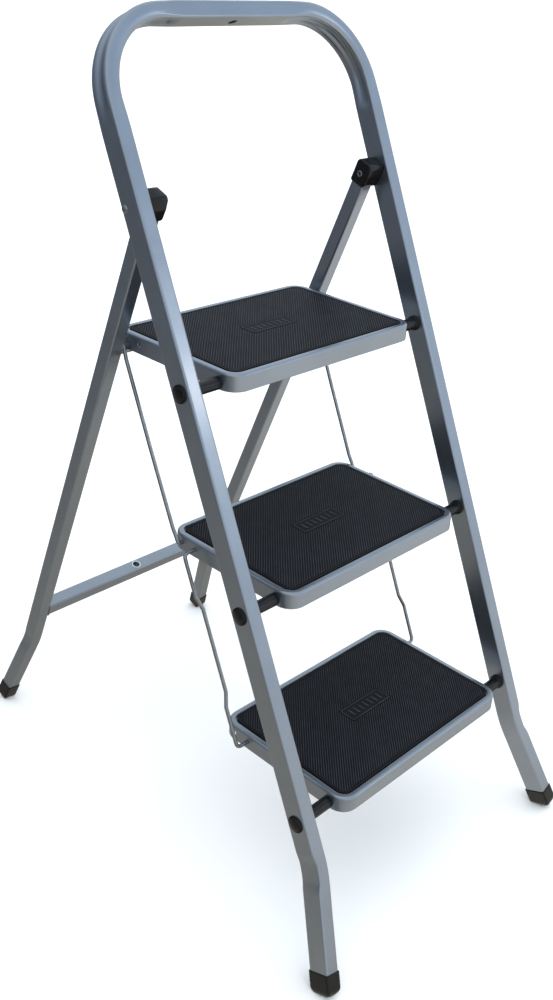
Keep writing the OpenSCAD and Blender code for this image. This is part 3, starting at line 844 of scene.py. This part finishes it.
class LADDER_OT_pivots(bpy.types.Operator):
    """Black caps on the rear legs' tops, and the rivets through them"""

    bl_idname = "ladder.pivots"
    bl_label = "Pivots"

    def execute(self, context):
        tubes = context.scene.ladder_tubes
        fittings = context.scene.ladder_fittings
        x_in, x_out = low("pivot_cap_right")[0], high("pivot_cap_right")[0]
        half, nose = 12 * MM, fittings.cap_nose
        up, down = 17 * MM, 15.5 * MM
        outline = rounded_outline(
            [(half, -down), (half, up), (-half - 0.4 * nose, up), (-half - nose, 0.1 * up),
             (-half - 0.2 * nose, -down)],
            [3.0 * MM, 6 * MM, 6.5 * MM, 18 * MM, 6 * MM], steps=8)
        edge = 2.4 * MM
        layers = np.vstack((
            arc((edge, x_in + edge), edge, -pi / 2, -pi, 6),
            [(0, x_in + 2 * edge), (0, x_out - 1 * MM), (0.6 * MM, x_out)],
        ))
        rings = layered(outline, layers)[..., [2, 0, 1]]
        for name, side in SIDES.items():
            cap = piece(f"black_pivot_cap_{name}", [placed_shell(skin(rings), PIVOT, REAR_UP, side)])
            stand_for(cap, "black_plastic", "black_polypropylene", f"pivot_cap_{name}")
        inner = x_in - 1.3 * MM
        outer = INNER_X + tubes.width
        head, eyelet, bore, shank = 5 * MM, 4.2 * MM, 1.9 * MM, 3 * MM
        dome, rise, pole = np.linspace(0.94, 0, 8), 2.4 * MM, 0.02 * MM
        profile = np.vstack((
            [(inner + 3 * MM, pole), (inner + 3 * MM, bore)],
            arc((inner + 0.6 * MM, bore + 0.6 * MM), 0.6 * MM, -pi / 2, -pi, 3),
            arc((inner + 0.6 * MM, eyelet - 0.6 * MM), 0.6 * MM, pi, pi / 2, 3),
            [(inner + 1.3 * MM, eyelet), (inner + 1.4 * MM, shank), (outer, shank), (outer, head)],
            np.stack((outer + rise * (1 - dome**2), np.maximum(dome * head, pole)), 1),
        ))
        shells = [placed_shell(skin(lathe(profile)), PIVOT, FRAME_UP, side) for side in SIDES.values()]
        rivets = piece("eyelet_rivets", shells)
        stand_for(rivets, "zinc_wire", "bright_zinc", "pivot_rivets")
        return {"FINISHED"}


class LADDER_OT_links(bpy.types.Operator):
    """Two upper and two lower wire links, bent into their holes and riveted over inside the skirts"""

    bl_idname = "ladder.links"
    bl_label = "Wire Links"

    def execute(self, context):
        fittings = context.scene.ladder_fittings
        drop = np.linalg.norm(AXLES[2] - AXLES[1])
        inside, upper, lower, tucked = TREAD_SIDE + np.array((-1.6, 6.2, 18, 12)) * MM
        bow, bow_start, bow_end = 2.5 * MM, 10 * MM, 22 * MM
        jog_start, jog_end = 56 * MM, 74 * MM
        routes = {
            "upper": ("upper_link_swing", [
                (inside, 0, 0), (upper, 0, 0), (upper, 0.3 * bow, -bow_start), (upper, bow, -bow_end),
                (upper, 1.3 * bow, -drop / 2), (upper, bow, bow_end - drop),
                (upper, 0.3 * bow, bow_start - drop), (upper, 0, -drop), (inside, 0, -drop)]),
            "lower": ("lower_link_swing", [
                (inside, 0, 0), (lower, 0, 0), (lower, 0, -jog_start), (tucked, 0, -jog_end),
                (tucked, 0, jog_end - drop), (lower, 0, jog_start - drop), (lower, 0, -drop),
                (inside, 0, -drop)]),
        }
        for name, (joint, points) in routes.items():
            hole = joint_place(joint)
            path = filleted(points, fittings.wire_bend)
            radius = fittings.wire / 2
            head = [(inside - 1.5 * MM, 0.4 * radius), (inside - 1.5 * MM, 1.3 * radius),
                    (inside - 1 * MM, 1.55 * radius), (inside, 1.5 * radius), (inside, 0.4 * radius)]
            shells = [wire_shell(path, radius)]
            shells += [skin(lathe(head, 24) + (0, 0, z)) for z in (0, -drop)]
            for side_name, side in SIDES.items():
                link = piece(f"{name}_wire_{side_name}",
                             [placed_shell(shell, hole * (0, 1, 1), FRAME_UP, side) for shell in shells])
                stand_for(link, "zinc_wire", "bright_zinc", f"{name}_link_{side_name}")
        return {"FINISHED"}


class LADDER_OT_latch(bpy.types.Operator):
    """Two bent strips under the top tread that drop behind the cross rod"""

    bl_idname = "ladder.latch"
    bl_label = "Latch Hooks"

    def execute(self, context):
        bottom, top = low("latch_hooks"), high("latch_hooks")
        wide, thick, spacing = 30 * MM, 2 * MM, 100 * MM
        points = [(0, bottom[1], top[2] - thick / 2), (0, top[1] - thick / 2, top[2] - thick / 2),
                  (0, top[1] - thick / 2, bottom[2])]
        path = filleted(points, 4 * MM)
        across = np.broadcast_to(ACROSS, path.shape)
        thin = np.cross(frames_along(path)[0], across)
        outline = rounded_rectangle(wide, thick, 0.6 * MM, steps=3)
        rings = path[:, None] + outline[None, :, :1] * across[:, None] + outline[None, :, 1:] * thin[:, None]
        points, faces = skin(rings)
        shells = [(points + (side * spacing, 0, 0), faces) for side in SIDES.values()]
        hooks = piece("latch_strips", shells)
        stand_for(hooks, "zinc_wire", "bright_zinc", "latch_hooks")
        return {"FINISHED"}


# ---------------------------------------------------------------- finishes


def feed(tree, target, inputs):
    """Sets a node's inputs, each to a value or to another node's output."""
    for key, value in inputs.items():
        if isinstance(value, bpy.types.NodeSocket):
            tree.links.new(value, target.inputs[key])
        else:
            target.inputs[key].default_value = value


def node(tree, kind, inputs=None, **settings):
    """Adds a shader node: settings are its attributes, and inputs go to its sockets."""
    made = tree.nodes.new("ShaderNode" + kind)
    for key, value in settings.items():
        setattr(made, key, value)
    feed(tree, made, inputs or {})
    return made


def moulded(tree, height, depth_mm, strength):
    """A normal raised and sunk by a pattern of the given depth."""
    bump = node(tree, "Bump", {"Height": height, "Distance": depth_mm * MM, "Strength": strength})
    return bump.outputs["Normal"]


def gloss(tree, pattern, smooth, rough):
    """Roughness from smooth to rough along a pattern."""
    return node(tree, "MapRange", {"Value": pattern, "To Min": smooth, "To Max": rough}).outputs["Result"]


def cloud(tree, size_mm, detail, roughness=0.5):
    """A noise of soft patches of about the given size, fixed to the object."""
    place = node(tree, "TexCoord").outputs["Object"]
    return node(tree, "TexNoise", {"Vector": place, "Scale": per_metre(size_mm), "Detail": detail,
                                   "Roughness": roughness}).outputs["Fac"]


def per_metre(size_mm):
    """Pattern scale whose features are about the given size across."""
    return 1 / (size_mm * MM)


def shades(tree, noise, base, spread):
    """The base colour, a little darker to a little lighter along a noise."""
    ramp = node(tree, "ValToRGB", {"Fac": noise})
    for stop, gain in zip(ramp.color_ramp.elements, (1 - spread, 1 + spread)):
        stop.color = (*np.clip(np.array(base) * gain, 0, 1), 1)
    ramp.color_ramp.elements[0].position = 0.3
    ramp.color_ramp.elements[1].position = 0.7
    return ramp.outputs["Color"]


def silver_enamel(tree, surface, finishes):
    """Stoved aluminium-grey enamel, sprayed on tube and sheet: flakes of about half a millimetre drawn a
    little coarser so that they show, faint orange peel, and long waves that break up its reflections."""
    place = node(tree, "TexCoord").outputs["Object"]
    flake = node(tree, "TexVoronoi", {"Vector": place, "Scale": per_metre(0.9)}).outputs["Distance"]
    wavy = moulded(tree, cloud(tree, 45, 2.0), 0.9, 0.35)
    peel = node(tree, "Bump", {"Height": cloud(tree, 3, 1.0), "Distance": 0.04 * MM, "Strength": 0.4,
                               "Normal": wavy})
    feed(tree, surface, {
        "Base Color": shades(tree, cloud(tree, 70, 3.0), finishes.enamel, 0.05),
        "Roughness": gloss(tree, flake, 0.26, 0.34),
        "Normal": peel.outputs["Normal"],
        "Metallic": 0.95,
        "Coat Weight": 0.3,
        "Coat Roughness": 0.12,
    })


def black_polypropylene(tree, surface, finishes):
    """Injection-moulded black polypropylene: glossy on the barrels and domes, with a faint flow texture."""
    flow = cloud(tree, 9, 4.0)
    feed(tree, surface, {
        "Base Color": shades(tree, flow, finishes.plastic, 0.25),
        "Roughness": gloss(tree, flow, 0.2, 0.36),
        "Normal": moulded(tree, cloud(tree, 0.8, 1.0), 0.03, 0.3),
        "IOR": 1.49,
        "Specular IOR Level": 0.35,
    })


def rubber(tree, surface, tone, bloom):
    """Pressed and vulcanised rubber of a given tone, satin where its dry bloom is thin, finely grained."""
    feed(tree, surface, {
        "Base Color": tone,
        "Roughness": gloss(tree, bloom, 0.5, 0.66),
        "Normal": moulded(tree, cloud(tree, 0.9, 2.0), 0.06, 0.4),
        "IOR": 1.52,
        "Specular IOR Level": 0.12,
    })


def vulcanised_rubber(tree, surface, finishes):
    """The mats' rubber: near black, with its bloom in patches."""
    bloom = cloud(tree, 38, 5.0, 0.6)
    rubber(tree, surface, shades(tree, bloom, finishes.rubber, 0.22), bloom)


def crown_highlight_rubber(tree, surface, finishes):
    """The same rubber, painted lighter on the crowns of the ribs and the plaque: a painted highlight where light
    catches the crowns, in soft patches.
    """
    highlight_patches = cloud(tree, 14, 5.0)
    rubber(tree, surface, shades(tree, highlight_patches, finishes.crown_highlight, 0.25), cloud(tree, 38, 5.0, 0.6))


def smooth_metal(tree, surface, tone, clouds):
    """Bare or plated metal of a given tone: smooth, with fine uneven clouds in its gloss."""
    feed(tree, surface, {
        "Base Color": tone,
        "Roughness": gloss(tree, clouds, 0.14, 0.3),
        "Normal": moulded(tree, cloud(tree, 1.2, 1.0), 0.03, 0.3),
        "Metallic": 1.0,
    })


def bright_zinc(tree, surface, finishes):
    """Bright zinc plate on drawn wire and rivets."""
    clouds = cloud(tree, 6, 4.0)
    smooth_metal(tree, surface, shades(tree, clouds, finishes.zinc, 0.1), clouds)


def bare_steel(tree, surface, finishes):
    """Steel scraped bare by the punch, with fine scratches."""
    scratch = cloud(tree, 1.5, 3.0)
    smooth_metal(tree, surface, shades(tree, scratch, finishes.scraped, 0.12), cloud(tree, 6, 4.0))


def seamless_paper(tree, surface, finishes):
    """Matt white backdrop paper on the floor, with a trace of tone so that it isn't flat."""
    fibre = cloud(tree, 667, 2.0)
    feed(tree, surface, {
        "Base Color": shades(tree, fibre, finishes.paper, 0.01),
        "Roughness": 0.9,
        "Specular IOR Level": 0.1,
    })


FINISHES = {
    made.__name__: made
    for made in (silver_enamel, black_polypropylene, vulcanised_rubber, crown_highlight_rubber, bright_zinc, bare_steel,
                 seamless_paper)
}


def material(name):
    """The finish of that name, made on its first use."""
    found = bpy.data.materials.get(name)
    if found:
        return found
    made = bpy.data.materials.new(name)
    made.use_nodes = True
    tree = made.node_tree
    FINISHES[name](tree, tree.nodes["Principled BSDF"], bpy.context.scene.ladder_finishes)
    return made


# ---------------------------------------------------------------- stage


def sheet(name, half, height, paint):
    """A square of stage, level and centred under the ladder."""
    mesh = bpy.data.meshes.new(name)
    corners = [(x * half, y * half, height) for x, y in ((-1, -1), (1, -1), (1, 1), (-1, 1))]
    mesh.from_pydata(corners, [], [(0, 1, 2, 3)])
    mesh.materials.append(paint)
    made = bpy.data.objects.new(name, mesh)
    bpy.context.collection.objects.link(made)
    return made


def sun(name, energy, spread, direction):
    """A far light that shines from a direction, spread over an angle in degrees."""
    lamp = bpy.data.lights.new(name, "SUN")
    lamp.energy, lamp.angle = energy, radians(spread)
    made = bpy.data.objects.new(name, lamp)
    bpy.context.collection.objects.link(made)
    made.location = direction
    made.rotation_euler = (-Vector(direction)).to_track_quat("-Z", "Y").to_euler()
    return made


def ramped(tree, vector, axis, stops):
    """A ramp of (distance, colour) stops over the dot product of a vector and an axis."""
    run = node(tree, "VectorMath", {0: vector, 1: axis}, operation="DOT_PRODUCT")
    first, last = stops[0][0], stops[-1][0]
    share = node(tree, "MapRange", {"Value": run.outputs["Value"], "From Min": first, "From Max": last})
    ramp = node(tree, "ValToRGB", {"Fac": share.outputs["Result"]})
    elements = ramp.color_ramp.elements
    for _ in stops[2:]:
        elements.new(0.5)
    for k, (place, tone) in enumerate(stops):
        elements[k].position = (place - first) / (last - first)
        elements[k].color = (*tone, 1)
    return ramp.outputs["Color"]


def reflected_floor(half):
    """What the enamel mirrors of the ground: a glowing sheet just over the paper that only reflections
    see, bright in front of the ladder and darker and cooler behind it to the left."""
    paint = bpy.data.materials.new("reflected_floor")
    paint.use_nodes = True
    tree = paint.node_tree
    tone = ramped(tree, node(tree, "TexCoord").outputs["Object"], (0.64, -0.77, 0), (
        (-6.0, (0.15, 0.16, 0.18)),
        (-2.2, (0.20, 0.205, 0.215)),
        (-0.95, (0.31, 0.30, 0.275)),
        (-0.4, (0.42, 0.395, 0.34)),
        (0.0, (0.46, 0.43, 0.37)),
        (0.3, (0.70, 0.68, 0.62)),
        (0.9, (0.95, 0.94, 0.9)),
    ))
    glow = node(tree, "Emission", {"Color": tone})
    tree.links.new(glow.outputs["Emission"], tree.nodes["Material Output"].inputs["Surface"])
    card = sheet("reflected_floor", half, 1 * MM, paint)
    for kind in ("camera", "diffuse", "transmission", "shadow", "volume_scatter"):
        setattr(card, f"visible_{kind}", False)


class LADDER_OT_stage(bpy.types.Operator):
    """Pale floor, soft studio light and the camera"""

    bl_idname = "ladder.stage"
    bl_label = "Stage"

    def execute(self, context):
        half = 30
        sheet("floor", half, 0, material("seamless_paper"))
        reflected_floor(half)
        self.sky(context.scene)
        overcast = sun("overcast", 2.4, 120, (0.4, -0.5, 3.0))
        overcast.visible_glossy = False
        glint = sun("glint", 0.07, 3, (0.618, -0.731, 0.29))
        glint.visible_diffuse = False
        self.camera(context.scene)
        return {"FINISHED"}

    def sky(self, scene):
        """A studio's light as the enamel mirrors it: bright in front and above, dim behind."""
        world = bpy.data.worlds.new("studio")
        scene.world = world
        world.use_nodes = True
        tree = world.node_tree
        tone = ramped(tree, node(tree, "TexCoord").outputs["Generated"], (0.5, -0.6, 0.62), (
            (-0.85, (0.13, 0.16, 0.20)),
            (-0.35, (0.30, 0.35, 0.42)),
            (0.1, (0.75, 0.85, 0.97)),
            (0.5, (0.95, 1.0, 1.0)),
            (0.98, (0.68, 0.83, 1.0)),
        ))
        feed(tree, tree.nodes["Background"], {"Color": tone, "Strength": 1.0})

    def camera(self, scene):
        """In front of the ladder and to its left, a little higher than the handrail, looking down."""
        data = bpy.data.cameras.new("camera")
        data.lens, data.sensor_width = 39.09, 36
        data.shift_x, data.shift_y = 0.0049, -0.0049
        camera = bpy.data.objects.new("camera", data)
        scene.collection.objects.link(camera)
        camera.location = (-0.9548, -0.8838, 1.1188)
        camera.rotation_euler = (radians(62.553), radians(-3.389), radians(-45.371))
        scene.camera = camera
        scene.view_settings.view_transform = "Standard"


# ---------------------------------------------------------------- the add-on

GROUPS = {
    "ladder_tubes": LadderTubes,
    "ladder_treads": LadderTreads,
    "ladder_fittings": LadderFittings,
    "ladder_finishes": LadderFinishes,
}
OPERATORS = (
    LADDER_OT_front_frame,
    LADDER_OT_rear_frame,
    LADDER_OT_treads,
    LADDER_OT_mats,
    LADDER_OT_feet,
    LADDER_OT_axle_fittings,
    LADDER_OT_pivots,
    LADDER_OT_links,
    LADDER_OT_latch,
    LADDER_OT_stage,
)


class LADDER_PT_panel(bpy.types.Panel):
    """Sidebar panel with the sizes and the steps that build the ladder"""

    bl_idname = "LADDER_PT_panel"
    bl_label = "Step Ladder"
    bl_space_type = "VIEW_3D"
    bl_region_type = "UI"
    bl_category = "Step Ladder"

    def draw(self, context):
        for name, group in GROUPS.items():
            box = self.layout.box()
            for key in group.__annotations__:
                box.prop(getattr(context.scene, name), key)
        for operator in OPERATORS:
            self.layout.operator(operator.bl_idname)


def register():
    for made in (*GROUPS.values(), *OPERATORS, LADDER_PT_panel):
        bpy.utils.register_class(made)
    for name, group in GROUPS.items():
        setattr(bpy.types.Scene, name, bpy.props.PointerProperty(type=group))


def unregister():
    for name in GROUPS:
        delattr(bpy.types.Scene, name)
    for made in reversed((*GROUPS.values(), *OPERATORS, LADDER_PT_panel)):
        bpy.utils.unregister_class(made)


def main():
    register()
    for operator in OPERATORS:
        family, name = operator.bl_idname.split(".")
        getattr(getattr(bpy.ops, family), name)()


if __name__ == "__main__":
    main()
